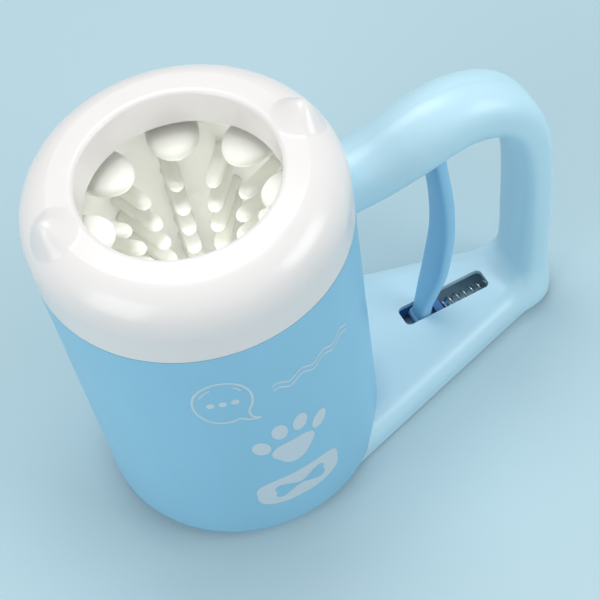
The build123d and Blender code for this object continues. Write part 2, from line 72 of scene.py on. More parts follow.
COLLAR_R = min(-collar_low[0], collar_high[1]) - 0.01
COLLAR_FOOT = collar_low[2]
CUP_FOOT = cup_low[2]
FOOT_R = -cup_low[0] - 2.0
RIM_R = -cup_low[0]
DRUM_R = drum_high[1]
DRUM_TOP = drum_high[2]
PIVOT = ((pin_low[0] + pin_high[0]) / 2, (pin_low[2] + pin_high[2]) / 2)
LINK = ((link_low[0] + link_high[0]) / 2, (link_low[2] + link_high[2]) / 2)
LEVER_BORE_R = (pin_high[0] - pin_low[0]) / 2 + 0.1


# ---- mesh helpers ----
def mesh_piece(name, points, faces, sharp_degrees=40):
    """New object from points in millimetres, shaded smooth except at edges sharper than the angle."""
    mesh = bpy.data.meshes.new(name)
    mesh.from_pydata((np.asarray(points, float) * MM).tolist(), [], [list(map(int, f)) for f in faces])
    return finish_mesh(name, mesh, sharp_degrees)


def finish_mesh(name, mesh, sharp_degrees=40):
    """Object for a mesh that is already in metres."""
    mesh.validate()
    mesh.polygons.foreach_set("use_smooth", [True] * len(mesh.polygons))
    mesh.set_sharp_from_angle(angle=math.radians(sharp_degrees))
    mesh.update()
    piece = bpy.data.objects.new(name, mesh)
    bpy.context.scene.collection.objects.link(piece)
    return piece


def joined(parts):
    """One set of points and faces from several."""
    points, faces, start = [], [], 0
    for part_points, part_faces in parts:
        points.append(np.asarray(part_points, float))
        faces += [[i + start for i in face] for face in part_faces]
        start += len(part_points)
    return np.concatenate(points), faces


def grid_faces(rows, columns, wrap_rows=False, wrap_columns=True):
    """Quads over a grid of points that is stored row by row."""
    faces = []
    for i in range(rows if wrap_rows else rows - 1):
        for j in range(columns if wrap_columns else columns - 1):
            right = (j + 1) % columns
            below = (i + 1) % rows
            a, b = i * columns, below * columns
            faces.append([a + j, a + right, b + right, b + j])
    return faces


def tube(rings):
    """Closed skin through equal rings of points, with flat end faces."""
    rings = np.asarray(rings, float)
    count, size = rings.shape[:2]
    faces = grid_faces(count, size)
    faces.append(list(range(size))[::-1])
    faces.append([(count - 1) * size + k for k in range(size)])
    return rings.reshape(-1, 3), faces


def revolved(profile, angles):
    """Closed solid from a closed outline of (radius, height) points turned about the axis."""
    profile = np.asarray(profile, float)
    r, z = profile[:, 0], profile[:, 1]
    rings = [np.stack([r * math.cos(a), r * math.sin(a), z], -1) for a in angles]
    return np.concatenate(rings), grid_faces(len(angles), len(profile), wrap_rows=True)


def even_angles(count):
    return [2 * math.pi * k / count for k in range(count)]


def arc(centre, radius, start, end, steps):
    """Points (radius, height) on an arc, angles in degrees from outward, counter-clockwise."""
    angles = np.radians(np.linspace(start, end, steps))
    return [(centre[0] + radius * math.cos(a), centre[1] + radius * math.sin(a)) for a in angles]


def curve_through(stations, steps):
    """Smooth (Catmull-Rom) rows through rows of numbers."""
    s = np.asarray(stations, float)
    s = np.vstack([2 * s[0] - s[1], s, 2 * s[-1] - s[-2]])
    t = np.linspace(0, 1, steps, endpoint=False)[:, None]
    spans = []
    for a, b, c, d in zip(s, s[1:], s[2:], s[3:]):
        bend = 2 * a - 5 * b + 4 * c - d
        twist = -a + 3 * b - 3 * c + d
        spans.append(0.5 * (2 * b + (c - a) * t + bend * t**2 + twist * t**3))
    return np.vstack(spans + [s[-2:-1]])


def superellipse(half_a, half_b, power, count):
    """Rounded rectangle outline as (a, b) points."""
    angles = np.linspace(0, 2 * math.pi, count, endpoint=False)
    c, s = np.cos(angles), np.sin(angles)
    return (
        half_a * np.sign(c) * np.abs(c) ** (2 / power),
        half_b * np.sign(s) * np.abs(s) ** (2 / power),
    )


def cylinder(start, end, radius, count=48):
    """Round bar between two points."""
    start, end = np.asarray(start, float), np.asarray(end, float)
    along = (end - start) / np.linalg.norm(end - start)
    side = np.cross(along, (0, 0, 1) if abs(along[2]) < 0.9 else (1, 0, 0))
    side /= np.linalg.norm(side)
    up = np.cross(along, side)
    circle = [radius * (math.cos(a) * side + math.sin(a) * up) for a in even_angles(count)]
    return tube([[p + q for q in circle] for p in (start, end)])


def prism(outline, z0, z1):
    """Upright solid from a plan outline of (x, y) points."""
    return tube([[(x, y, z) for x, y in outline] for z in (z0, z1)])


def cuboid(low, high):
    """Solid between two corners."""
    plan = [(low[0], low[1]), (high[0], low[1]), (high[0], high[1]), (low[0], high[1])]
    return prism(plan, low[2], high[2])


def carve(piece, cutters, operation="DIFFERENCE"):
    """Cut solids off a piece, or keep only what is inside one, and leave a plain mesh."""
    for number, (points, faces) in enumerate(cutters):
        cutter = mesh_piece(f"cutter_{number}", points, faces)
        modifier = piece.modifiers.new("carve", "BOOLEAN")
        modifier.operation = operation
        modifier.solver = "EXACT"
        modifier.object = cutter
        depsgraph = bpy.context.evaluated_depsgraph_get()
        result = bpy.data.meshes.new_from_object(piece.evaluated_get(depsgraph))
        piece.modifiers.clear()
        piece.data = result
        bpy.data.objects.remove(cutter)
    return piece


def surface_net(field, low, step):
    """Closed quad mesh where a sampled field is zero, one point to each cell that the surface crosses."""
    inside = field < 0
    n = np.array(field.shape) - 1
    corner = [(a, b, c) for a in (0, 1) for b in (0, 1) for c in (0, 1)]

    def part(values, offset):
        return values[tuple(slice(o, o + m) for o, m in zip(offset, n))]

    total = np.zeros(tuple(n) + (3,))
    count = np.zeros(tuple(n))
    for a in corner:
        for axis in range(3):
            if a[axis]:
                continue
            b = tuple(o + (k == axis) for k, o in enumerate(a))
            crossing = part(inside, a) != part(inside, b)
            fa, fb = part(field, a)[crossing], part(field, b)[crossing]
            place = np.tile(np.array(a, float), (len(fa), 1))
            place[:, axis] += fa / (fa - fb)
            total[crossing] += place
            count[crossing] += 1
    used = count > 0
    number = np.full(tuple(n), -1)
    number[used] = np.arange(used.sum())
    cells = np.argwhere(used)
    points = low + step * (cells + total[used] / count[used][:, None])
    faces = []
    for axis in range(3):
        u, v = (axis + 1) % 3, (axis + 2) % 3
        before = [slice(1, m) for m in n]
        after = list(before)
        before[axis] = slice(0, n[axis])
        after[axis] = slice(1, n[axis] + 1)
        first, second = inside[tuple(before)], inside[tuple(after)]
        change = np.argwhere(first != second)
        outward = first[tuple(change.T)]
        at = change.copy()
        at[:, u] += 1
        at[:, v] += 1
        square = []
        for du, dv in ((1, 1), (0, 1), (0, 0), (1, 0)):
            cell = at.copy()
            cell[:, u] -= du
            cell[:, v] -= dv
            square.append(number[tuple(cell.T)])
        square = np.stack(square, -1)
        square[~outward] = square[~outward][:, ::-1]
        faces.append(square)
    return points, np.concatenate(faces)


# ---- materials ----
def new_material(name):
    material = bpy.data.materials.new(name)
    material.use_nodes = True
    tree = material.node_tree
    shader = tree.nodes["Principled BSDF"]
    place = tree.nodes.new("ShaderNodeTexCoord")
    return material, tree, shader, place.outputs["Object"]


def noise(tree, place, scale, detail=3.0, stretch=None):
    """Noise in the object's own space; scale is features per metre."""
    node = tree.nodes.new("ShaderNodeTexNoise")
    node.inputs["Scale"].default_value = scale
    node.inputs["Detail"].default_value = detail
    if stretch:
        mapping = tree.nodes.new("ShaderNodeMapping")
        mapping.inputs["Scale"].default_value = stretch
        tree.links.new(place, mapping.inputs["Vector"])
        place = mapping.outputs["Vector"]
    tree.links.new(place, node.inputs["Vector"])
    return node.outputs["Fac"]


def tinted(tree, factor, dark, light):
    """Colour that wanders between two close tones."""
    ramp = tree.nodes.new("ShaderNodeValToRGB")
    ramp.color_ramp.elements[0].position = 0.35
    ramp.color_ramp.elements[1].position = 0.65
    ramp.color_ramp.elements[0].color = (*dark, 1)
    ramp.color_ramp.elements[1].color = (*light, 1)
    tree.links.new(factor, ramp.inputs["Fac"])
    return ramp.outputs["Color"]


def ranged(tree, factor, low, high):
    node = tree.nodes.new("ShaderNodeMapRange")
    node.inputs["To Min"].default_value = low
    node.inputs["To Max"].default_value = high
    tree.links.new(factor, node.inputs["Value"])
    return node.outputs["Result"]


def bumped(tree, shader, height, strength, distance):
    node = tree.nodes.new("ShaderNodeBump")
    node.inputs["Strength"].default_value = strength
    node.inputs["Distance"].default_value = distance
    tree.links.new(height, node.inputs["Height"])
    tree.links.new(node.outputs["Normal"], shader.inputs["Normal"])


def moulded(name, colour, rough=0.32, variation=0.02, texture=0.06, coat=0.0, soft=0.0):
    """Moulded plastic: slight flow marks in the tone, a fine eggshell texture and uneven gloss."""
    material, tree, shader, place = new_material(name)
    dark = [max(0.0, c * (1 - variation)) for c in colour]
    light = [min(1.0, c * (1 + variation)) for c in colour]
    flow = noise(tree, place, 38, 4, stretch=(1, 1, 0.35))
    tree.links.new(tinted(tree, flow, dark, light), shader.inputs["Base Color"])
    patches = noise(tree, place, 95, 2)
    tree.links.new(ranged(tree, patches, rough - 0.035, rough + 0.035), shader.inputs["Roughness"])
    bumped(tree, shader, noise(tree, place, 2400, 2), texture, 0.0001)
    shader.inputs["Coat Weight"].default_value = coat
    shader.inputs["Coat Roughness"].default_value = 0.12
    shader.inputs["Subsurface Weight"].default_value = soft
    shader.inputs["Subsurface Radius"].default_value = (0.9, 1.0, 1.0)
    shader.inputs["Subsurface Scale"].default_value = 0.002
    return material


def silicone_material():
    """Milky silicone: light passes through the thin tongues, and the skin is slightly cloudy."""
    material, tree, shader, place = new_material("silicone_milky")
    cloud = noise(tree, place, 60, 3)
    colour = tinted(tree, cloud, (0.895, 0.905, 0.845), (0.925, 0.932, 0.88))
    tree.links.new(colour, shader.inputs["Base Color"])
    tree.links.new(ranged(tree, noise(tree, place, 160, 2), 0.36, 0.46), shader.inputs["Roughness"])
    bumped(tree, shader, noise(tree, place, 1500, 2), 0.05, 0.0001)
    shader.inputs["Subsurface Weight"].default_value = 0.35
    shader.inputs["Subsurface Radius"].default_value = (1.0, 1.0, 0.8)
    shader.inputs["Subsurface Scale"].default_value = 0.004
    shader.inputs["IOR"].default_value = 1.41
    return material


def metal(name, colour, rough):
    """Turned metal with fine drawn lines."""
    material, tree, shader, place = new_material(name)
    lines = noise(tree, place, 900, 3, stretch=(1, 1, 0.08))
    tree.links.new(tinted(tree, lines, [c * 0.86 for c in colour], colour), shader.inputs["Base Color"])
    tree.links.new(ranged(tree, lines, rough - 0.06, rough + 0.08), shader.inputs["Roughness"])
    bumped(tree, shader, lines, 0.12, 0.00005)
    shader.inputs["Metallic"].default_value = 1.0
    return material


def rubber(name, colour):
    """Matt rubber with a pebbled skin."""
    material, tree, shader, place = new_material(name)
    blotch = noise(tree, place, 120, 4)
    tree.links.new(tinted(tree, blotch, [c * 0.85 for c in colour], colour), shader.inputs["Base Color"])
    tree.links.new(ranged(tree, blotch, 0.62, 0.78), shader.inputs["Roughness"])
    cells = tree.nodes.new("ShaderNodeTexVoronoi")
    cells.inputs["Scale"].default_value = 1100
    tree.links.new(place, cells.inputs["Vector"])
    bumped(tree, shader, cells.outputs["Distance"], 0.35, 0.0001)
    return material


def ink(name, colour):
    """Pad-printed ink, slightly thin in places."""
    material, tree, shader, place = new_material(name)
    grain = noise(tree, place, 700, 4)
    tree.links.new(tinted(tree, grain, [c * 0.95 for c in colour], colour), shader.inputs["Base Color"])
    tree.links.new(ranged(tree, grain, 0.42, 0.52), shader.inputs["Roughness"])
    return material


def paint(piece, material):
    piece.data.materials.clear()
    piece.data.materials.append(material)
    return piece


CUP_BLUE = (0.245, 0.53, 0.72)
HANDLE_BLUE = (0.47, 0.72, 0.84)
LEVER_BLUE = (0.27, 0.56, 0.79)
# painted shade: this dark blue stands for the shade inside the handle's slot, where the pale blue plastic
# lies in deep shadow
SLOT_SHADE_BLUE = (0.012, 0.14, 0.40)
COLLAR_WHITE = (0.73, 0.722, 0.72)
INK_BLUE = (0.54, 0.65, 0.72)

cup_plastic = moulded("cup_satin_blue", CUP_BLUE, rough=0.36, variation=0.015, soft=0.05)
handle_plastic = moulded("handle_pale_blue", HANDLE_BLUE, rough=0.34, variation=0.015, soft=0.12)
lever_plastic = moulded("lever_blue", LEVER_BLUE, rough=0.36)
collar_plastic = moulded("collar_white", COLLAR_WHITE, rough=0.24, variation=0.008, texture=0.03, soft=0.08)
drum_plastic = moulded("drum_milky_plastic", (0.80, 0.82, 0.76), rough=0.4, soft=0.1)
# painted shade: the parts seen through the slot take the dark blue of the shaded slot instead of a plastic
# colour of their own
slot_shade_plastic = moulded("rack_painted_slot_shade", SLOT_SHADE_BLUE, rough=0.42)
gear_plastic = moulded("gear_acetal", (0.78, 0.77, 0.72), rough=0.38)
silicone = silicone_material()
steel = metal("plated_steel", (0.62, 0.62, 0.61), 0.3)
brass = metal("brass_turned", (0.70, 0.52, 0.26), 0.28)
grey_rubber = rubber("pad_grey_rubber", (0.20, 0.22, 0.235))
print_ink = ink("print_pale_ink", INK_BLUE)
print_knockout = ink("print_blue_ink", CUP_BLUE)


# ---- collar ----
BULGE_Z = 124.6           # height of its widest ring
EAR_REACH = 41.3          # distance of an ear's middle from the axis
EAR_HALF_WIDTH = 9.0      # round the collar
EAR_INSIDE = 8.6          # towards the opening
EAR_OUTSIDE = 9.0         # towards the rim
EAR_RISE = 5.8
EAR_LEAN = 12             # degrees outward


def collar_profile():
    """Outline of the collar's section from its outer lower lip, and how many of its points are outside."""
    shoulder_r = 14.5
    shoulder = (COLLAR_R - shoulder_r, BULGE_Z)
    lip_round = 0.3
    lip = arc((RIM_R - lip_round, COLLAR_FOOT + lip_round), lip_round, -90, 0, 5)
    rise = BULGE_Z - COLLAR_FOOT - lip_round
    flare = COLLAR_R - RIM_R
    skirt = [(RIM_R + flare * t, BULGE_Z - rise * (1 - t)) for t in np.linspace(0.08, 0.92, 14)]
    # the shoulder runs up to a soft crease, inside which the top is nearly flat
    crease = 74.6
    rounding = arc(shoulder, shoulder_r, 0, crease, 44)
    crease_r, crease_z = rounding[-1]
    bend = 2.2
    middle = (
        crease_r - bend * math.cos(math.radians(crease)),
        crease_z - bend * math.sin(math.radians(crease)),
    )
    fold = arc(middle, bend, crease, 87, 6)[1:]
    fold_r, fold_z = fold[-1]
    rim_r, rim_round = 31.0, 1.7
    slope = math.tan(math.radians(3))
    flat = [(r, fold_z + (fold_r - r) * slope) for r in np.linspace(fold_r, rim_r + rim_round, 16)[1:]]
    top = flat[-1][1]
    rim = arc((rim_r + rim_round, top - rim_round), rim_round, 93, 180, 10)[1:]
    wall = [(rim_r, z) for z in np.linspace(top - rim_round, 125.5, 12)[1:]]
    foot = arc((rim_r + 0.9, 125.9), 0.9, 180, 270, 5)[1:] + arc((rim_r + 1.3, 125.9), 0.9, 270, 360, 5)
    back = [(33.2, 133.0)] + arc((36.6, 133.4), 3.4, 170, 95, 6)
    ceiling = arc(shoulder, 12.3, 88, 2, 20)
    socket = [(47.3, 124.0), (47.3, COLLAR_FOOT)]
    outside = lip + skirt + rounding + fold + flat + rim
    return outside + wall + foot + back + ceiling + socket, len(outside)


def make_collar():
    profile, outside = collar_profile()
    profile = np.array(profile)
    count = 360
    crowd = 0.55
    angles = [t - crowd * math.sin(2 * t) / 2 for t in even_angles(count)]
    points, faces = revolved(profile, angles)
    # length along the outside from the ear's middle, positive towards the rim of the cup
    steps = np.hypot(*np.diff(profile, axis=0).T)
    run = np.concatenate([[0], np.cumsum(steps)])
    middle = run[np.argmin(np.abs(profile[:outside, 0] - EAR_REACH) + 50 * (profile[:outside, 1] < 130))]
    outward = np.tile(middle - run, len(angles))
    on_outside = np.tile(np.arange(len(profile)) < outside, len(angles))
    lean = math.radians(EAR_LEAN)
    for side in (1, -1):
        inward = outward > 0
        reach = np.where(inward, EAR_INSIDE, EAR_OUTSIDE)
        away = np.hypot(outward / reach, points[:, 1] / EAR_HALF_WIDTH)
        near = on_outside & (points[:, 0] * side > 0) & (away < 1)
        soft = 0.42
        away = (np.sqrt(away**2 + soft**2) - soft) / (math.sqrt(1 + soft**2) - soft)
        height = np.clip(1 - away, 0, 1) ** 1.3
        push = EAR_RISE * np.where(near, height, 0)[:, None]
        points = points + push * np.array([side * math.sin(lean), 0, math.cos(lean)])
    piece = mesh_piece("collar_smooth", points, [f[::-1] for f in faces], 50)
    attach(piece, "collar")
    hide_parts("collar")
    return paint(piece, collar_plastic)


# ---- handle ----
# Centreline of the handle: x, z, thickness in its plane, width across it.
HANDLE = (
    (42.0, 100.5, 21.5, 22.5),
    (52.0, 100.7, 21.5, 22.5),
    (62.0, 101.8, 23.0, 23.5),
    (73.0, 104.4, 24.6, 24.6),
    (83.5, 106.8, 24.0, 24.6),
    (93.5, 107.3, 21.5, 24.0),
    (103.5, 104.0, 18.5, 23.4),
    (111.0, 97.2, 16.0, 22.8),
    (115.7, 87.5, 14.0, 22.3),
    (117.6, 75.0, 12.9, 22.0),
    (117.8, 60.0, 12.4, 22.0),
    (117.0, 40.0, 12.5, 22.0),
    (116.0, 22.0, 12.8, 22.0),
    (114.8, 11.0, 14.5, 23.0),
    (112.5, 2.0, 17.0, 24.0),
    (109.5, -8.0, 17.0, 24.0),
)
BASE_R = 44.4
TIP_X = 106.5
TIP_R = 14.0
FAIRING_Z = 11.8
FAIRING_ROUND = 7.0
FAIRING_BLEND = 9.0
FOOT_ROUND = 2.5
SHELL = 1.8
SLOT_X = (65.5, 99.5)
SLOT_HALF = 4.2
HANDLE_SCREWS = ((57.0, 101.2), (104.5, 102.2), (117.6, 70.0), (116.4, 30.0))
handle_line = curve_through(HANDLE, 24)


def arm_field(x, y, z):
    """Distance-like value of the curved arm and grip: negative inside."""
    nearest = np.empty(x.shape, int)
    for start in range(0, len(x), 4000):
        part = slice(start, start + 4000)
        gap = (x[part, None] - handle_line[:, 0]) ** 2 + (z[part, None] - handle_line[:, 1]) ** 2
        nearest[part] = gap.argmin(1)
    station = handle_line[nearest]
    off = np.hypot(x - station[:, 0], z - station[:, 1])
    half_t, half_w = station[:, 2] / 2, station[:, 3] / 2
    power = 2.0 + 0.9 * np.clip((24 - station[:, 2]) / 11, 0, 1)
    size = ((off / half_t) ** power + (np.abs(y) / half_w) ** power) ** (1 / power)
    return np.hypot(off, y) * (1 - 1 / np.maximum(size, 1e-6))


def fairing_field(x, y, z):
    """The same for the low part: a round drawn out to a smaller round, with a rounded top edge."""
    side = np.abs(y)
    lean = (BASE_R - TIP_R) / TIP_X
    rise = math.sqrt(1 - lean * lean)
    along = -lean * side + rise * x
    plan = np.where(along < 0, np.hypot(x, side) - BASE_R, rise * side + lean * x - BASE_R)
    plan = np.where(along > rise * TIP_X, np.hypot(x - TIP_X, side) - TIP_R, plan)
    a, b = plan + FAIRING_ROUND, z - FAIRING_Z + FAIRING_ROUND
    return np.minimum(np.maximum(a, b), 0) + np.hypot(np.maximum(a, 0), np.maximum(b, 0)) - FAIRING_ROUND


def handle_field(points):
    x, y, z = points.T
    a, b = arm_field(x, y, z), fairing_field(x, y, z)
    near = np.maximum(FAIRING_BLEND - np.abs(a - b), 0) / FAIRING_BLEND
    return np.minimum(a, b) - near * near * FAIRING_BLEND / 4


def cup_radius(z):
    return FOOT_R + (RIM_R - FOOT_R) * (z - CUP_FOOT) / (COLLAR_FOOT - CUP_FOOT)


def handle_mesh():
    """Hollow handle, both halves in one, on a fine grid and then moved onto the exact surface."""
    step = 0.9
    low = np.array([26.0, -42.0, -4.0])
    high = np.array([126.0, 42.0, 122.0])
    axes = [np.arange(a, b, step) for a, b in zip(low, high)]
    grid = np.stack(np.meshgrid(*axes, indexing="ij"), -1)
    field = handle_field(grid.reshape(-1, 3)).reshape(grid.shape[:3])
    shell = np.maximum(field, -(field + SHELL))
    for axis in range(3):
        edge = [slice(None)] * 3
        for end in (0, -1):
            edge[axis] = end
            shell[tuple(edge)] = step
    points, faces = surface_net(shell, low, step)
    tiny = 0.02
    for _ in range(2):
        value = handle_field(points)
        slope = np.stack(
            [(handle_field(points + tiny * np.eye(3)[k]) - value) / tiny for k in range(3)], -1
        )
        target = np.where(value > -SHELL / 2, 0, -SHELL)
        move = (target - value)[:, None] * slope / np.maximum((slope**2).sum(1), 0.2)[:, None]
        inner = (points > low + 2 * step).all(1) & (points < high - 3 * step).all(1)
        points += np.where(inner[:, None], np.clip(move, -0.6, 0.6), 0)
    return points, faces


def make_handle():
    points, faces = handle_mesh()
    whole = mesh_piece("handle_whole", points, faces)
    inset = 0.4
    foot = FOOT_R - inset - FOOT_ROUND
    foot_edge = arc((foot, CUP_FOOT + FOOT_ROUND), FOOT_ROUND, -90, 0, 8)
    cone = revolved_solid([(0, CUP_FOOT)] + foot_edge + [(RIM_R - inset, COLLAR_FOOT), (0, COLLAR_FOOT)])
    head = SLOT_HALF + 2.2
    slot = rounded_plan(SLOT_X, SLOT_HALF, 2.0)
    cutters = [
        cone,
        cuboid((-60, -60, -20), (140, 60, CUP_FOOT)),
        prism(slot, 7.0, 20.0),
        cuboid((74.5, -head, 86.0), (91.0, head, 101.0)),
        cylinder((PIVOT[0], -head, PIVOT[1]), (PIVOT[0], head, PIVOT[1]), 7.0),
        cuboid((20, -1.5, 0), (54, 13.6, 9.9)),
    ]
    recess_r, seat_y = 2.85, 6.8
    cutters += [cylinder((x, seat_y, z), (x, 20, z), recess_r) for x, z in HANDLE_SCREWS]
    carve(whole, cutters)
    halves = []
    parting = 0.005
    for side, name in ((1, "left"), (-1, "right")):
        half = whole.copy()
        half.data = whole.data.copy()
        bpy.context.scene.collection.objects.link(half)
        near, far = sorted((side * parting, side * 60))
        carve(half, [cuboid((-10, near, -20), (140, far, 140))], "INTERSECT")
        mesh = half.data
        bpy.data.objects.remove(half)
        piece = finish_mesh(f"handle_half_{name}", mesh, 35)
        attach(piece, "housing")
        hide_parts(f"handle_shell_{name}")
        halves.append(paint(piece, handle_plastic))
    bpy.data.objects.remove(whole)
    return halves


def revolved_solid(outline, count=160):
    """Closed solid from an outline that starts and ends on the axis."""
    inner = outline[1:-1]
    rings = [[(r * math.cos(a), r * math.sin(a), z) for a in even_angles(count)] for r, z in inner]
    return tube(rings)


def rounded_plan(span, half, radius):
    """Plan outline of a slot with rounded corners."""
    outline = []
    corners = ((span[1], half, 0), (span[0], half, 90), (span[0], -half, 180), (span[1], -half, 270))
    for x, y, start in corners:
        centre = (x - math.copysign(radius, x - sum(span) / 2), y - math.copysign(radius, y))
        outline += arc(centre, radius, start, start + 90, 8)
    return outline


# ---- trigger lever ----
# Centreline when it hangs straight down: offset towards the grip, drop below the pivot, thickness, width.
LEVER_LINE = (
    (0.6, 4.0, 6.0, 12.0),
    (2.6, 15.0, 5.6, 12.0),
    (5.6, 32.0, 5.6, 12.0),
    (6.8, 50.0, 5.6, 12.0),
    (5.2, 68.0, 5.6, 12.0),
    (2.8, 79.0, 5.4, 9.6),
    (1.2, 86.0, 5.2, 7.4),
    (0.2, 93.0, 5.0, 7.4),
)


def make_lever():
    line = curve_through(LEVER_LINE, 10)
    heading = np.gradient(line[:, :2], axis=0)
    heading /= np.linalg.norm(heading, axis=1)[:, None]
    rings = []
    for (offset, drop, thick, width), (dx, dz) in zip(line, heading):
        across, wide = superellipse(thick / 2, width / 2, 3.2, 40)
        rings.append(np.stack([offset + dz * across, wide, -drop + dx * across], -1))
    length = math.hypot(PIVOT[0] - LINK[0], PIVOT[1] - LINK[1])
    hub_half, hub_r = 6.0, 5.0
    foot_half, foot_r = 3.7, 2.9
    hub = cylinder((0, -hub_half, 0), (0, hub_half, 0), hub_r)
    foot = cylinder((0, -foot_half, -length), (0, foot_half, -length), foot_r)
    bore = cylinder((0, -hub_half - 1, 0), (0, hub_half + 1, 0), LEVER_BORE_R)
    swing = math.atan2(PIVOT[0] - LINK[0], PIVOT[1] - LINK[1])
    c, s = math.cos(swing), math.sin(swing)

    def at_rest(shape):
        """A shape of the hanging lever, turned to where it rests."""
        points, faces = np.array(shape[0], float), shape[1]
        x, z = points[:, 0].copy(), points[:, 2].copy()
        points[:, 0] = PIVOT[0] + c * x + s * z
        points[:, 2] = PIVOT[1] - s * x + c * z
        return points, faces

    piece = mesh_piece("trigger_lever_smooth", *at_rest(tube(rings)))
    carve(piece, [at_rest(hub), at_rest(foot)], "UNION")
    carve(piece, [at_rest(bore)])
    piece.data.set_sharp_from_angle(angle=math.radians(40))
    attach(piece, "trigger")
    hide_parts("trigger_lever")
    return paint(piece, lever_plastic)


# ---- silicone brush ----
LOBES = 8
LOBE_PHASE = 28.5
LOBE_TIP = 22.5
LOBE_Z = 119.0
LOBE_WIDTH = 17.0
LOBE_THICK = 5.4
LOBE_DROOP = 0.6
FINGERS = 12
FINGER_PHASE = 20.0
FINGER_TIPS = (20.5, 17.5, 16.0, 15.0, 15.0, 15.0, 15.0, 15.0, 15.0)
FINGER_TOP_Z = 107.0
FINGER_PITCH = 8.5
FINGER_WIDTH = 5.4
FINGER_THICK = 3.4
FINGER_DROOP = 0.8
DRUM_WALL = 2.0
LINER = 2.2


def tongue(angle, tip_r, root_r, width, thick, z, droop):
    """Soft tongue that points at the axis: full round edges, a round tip and a flared root."""
    steps, size = 18, 28
    reach = root_r - tip_r
    end = min(width * 0.62, reach * 0.8)
    rings = []
    for k in range(steps + 1):
        t = math.sin(k / steps * math.pi / 2)
        r = root_r - reach * t
        past = max(0.0, (tip_r + end - r) / end)
        close = math.sqrt(max(0.0, 1 - past**2))
        flare = 1 + 0.22 * max(0.0, 1 - (root_r - r) / 3.0) ** 2
        half_w = max(width / 2 * close * flare, 0.15)
        half_t = max(thick / 2 * close**0.7 * flare, 0.12)
        wide, high = superellipse(half_w, half_t, 2.5, size)
        lift = z - droop * (root_r - r) / reach
        rings.append(np.stack([np.full(size, r), wide, lift + high], -1))
    points, faces = tube(rings)
    a = math.radians(angle)
    x, y = points[:, 0].copy(), points[:, 1].copy()
    points[:, 0] = x * math.cos(a) - y * math.sin(a)
    points[:, 1] = x * math.sin(a) + y * math.cos(a)
    return points, faces


def make_brush():
    outer = DRUM_R - DRUM_WALL
    inner = outer - LINER
    low, top = drum_low[2] + 2, DRUM_TOP - 1.5
    round_r = LINER / 2
    lip = arc((inner + round_r, top - round_r), round_r, 0, 180, 9)
    wall = [(inner, z) for z in np.linspace(top - round_r, low + 5, 24)[1:]]
    cove = arc((inner - 3, low + 5), 3, 0, -90, 6)[1:]
    section = lip + wall + cove + [(13.2, low + 2), (13.2, low), (outer, low)]
    parts = [revolved(section[::-1], even_angles(160))]
    root = inner + 1.2
    for k in range(LOBES):
        angle = LOBE_PHASE + k * 360 / LOBES
        parts.append(tongue(angle, LOBE_TIP, root, LOBE_WIDTH, LOBE_THICK, LOBE_Z, LOBE_DROOP))
    for row, tip in enumerate(FINGER_TIPS):
        z = FINGER_TOP_Z - row * FINGER_PITCH
        for k in range(FINGERS):
            angle = FINGER_PHASE + k * 360 / FINGERS
            parts.append(tongue(angle, tip, root, FINGER_WIDTH, FINGER_THICK, z, FINGER_DROOP))
    piece = mesh_piece("silicone_brush_soft", *joined(parts), 55)
    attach(piece, "drum")
    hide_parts("silicone_brush")
    return paint(piece, silicone)


# ---- return spring ----
def make_spring():
    wire, turns = 0.35, 9
    coil_r = (spring_high[1] - spring_low[1]) / 2 - wire
    start, end = spring_low[0] + wire, spring_high[0] - wire
    centre_z = (spring_low[2] + spring_high[2]) / 2
    steps = turns * 28
    rings = []
    pitch = (end - start) / (2 * math.pi * turns * coil_r)
    for k in range(steps + 1):
        a = 2 * math.pi * turns * k / steps
        out = np.array([0, math.cos(a), math.sin(a)])
        across = np.array([1, pitch * math.sin(a), -pitch * math.cos(a)])
        across /= np.linalg.norm(across)
        centre = np.array([start + (end - start) * k / steps, 0, centre_z]) + coil_r * out
        rings.append([centre + wire * (math.cos(b) * out + math.sin(b) * across) for b in even_angles(10)])
    piece = mesh_piece("return_spring_coil", *tube(rings))
    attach(piece, "housing")
    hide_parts("return_spring")
    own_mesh(piece)
    return paint(piece, steel)


# ---- print on the cup ----
PRINT_LIFT = 0.06
PRINT_DEPTH = 0.10
MM_PER_DEGREE = math.radians(1) * (FOOT_R + RIM_R) / 2


def on_cup(plan, lift):
    """Points (degrees round the cup, height) laid on the cup's wall."""
    plan = np.asarray(plan, float)
    a = np.radians(plan[:, 0])
    r = cup_radius(plan[:, 1]) + lift
    return np.stack([r * np.cos(a), r * np.sin(a), plan[:, 1]], -1)


def printed_patch(outline, lift=PRINT_LIFT):
    """Thin solid patch inside an outline that bulges round its own middle."""
    outline = np.asarray(outline, float)
    middle = outline.mean(0)
    rings = [on_cup(middle + (outline - middle) * t, lift) for t in (0.02, 0.2, 0.4, 0.6, 0.8, 0.93, 1.0)]
    rings += [on_cup(middle + (outline - middle) * t, lift - PRINT_DEPTH) for t in (1.0, 0.5, 0.02)]
    return tube(rings)


def printed_line(path, width):
    """Thin printed stroke along a path of (degrees, height) points."""
    path = np.asarray(path, float)
    flat = path * (MM_PER_DEGREE, 1)
    along = np.gradient(flat, axis=0)
    along /= np.linalg.norm(along, axis=1)[:, None]
    side = np.stack([-along[:, 1], along[:, 0]], -1) * width / 2 / (MM_PER_DEGREE, 1)
    left, right = path + side, path - side
    corners = [
        on_cup(left, PRINT_LIFT),
        on_cup(right, PRINT_LIFT),
        on_cup(right, PRINT_LIFT - PRINT_DEPTH),
        on_cup(left, PRINT_LIFT - PRINT_DEPTH),
    ]
    return tube(np.stack(corners, 1))


def oval(azimuth, z, half_w, half_h, turn=0.0, count=40):
    """Ellipse outline on the cup, half sizes in millimetres, turned in degrees."""
    c, s = math.cos(math.radians(turn)), math.sin(math.radians(turn))
    outline = []
    for a in even_angles(count):
        u, v = half_w * math.cos(a), half_h * math.sin(a)
        outline.append((azimuth + (u * c - v * s) / MM_PER_DEGREE, z + u * s + v * c))
    return outline


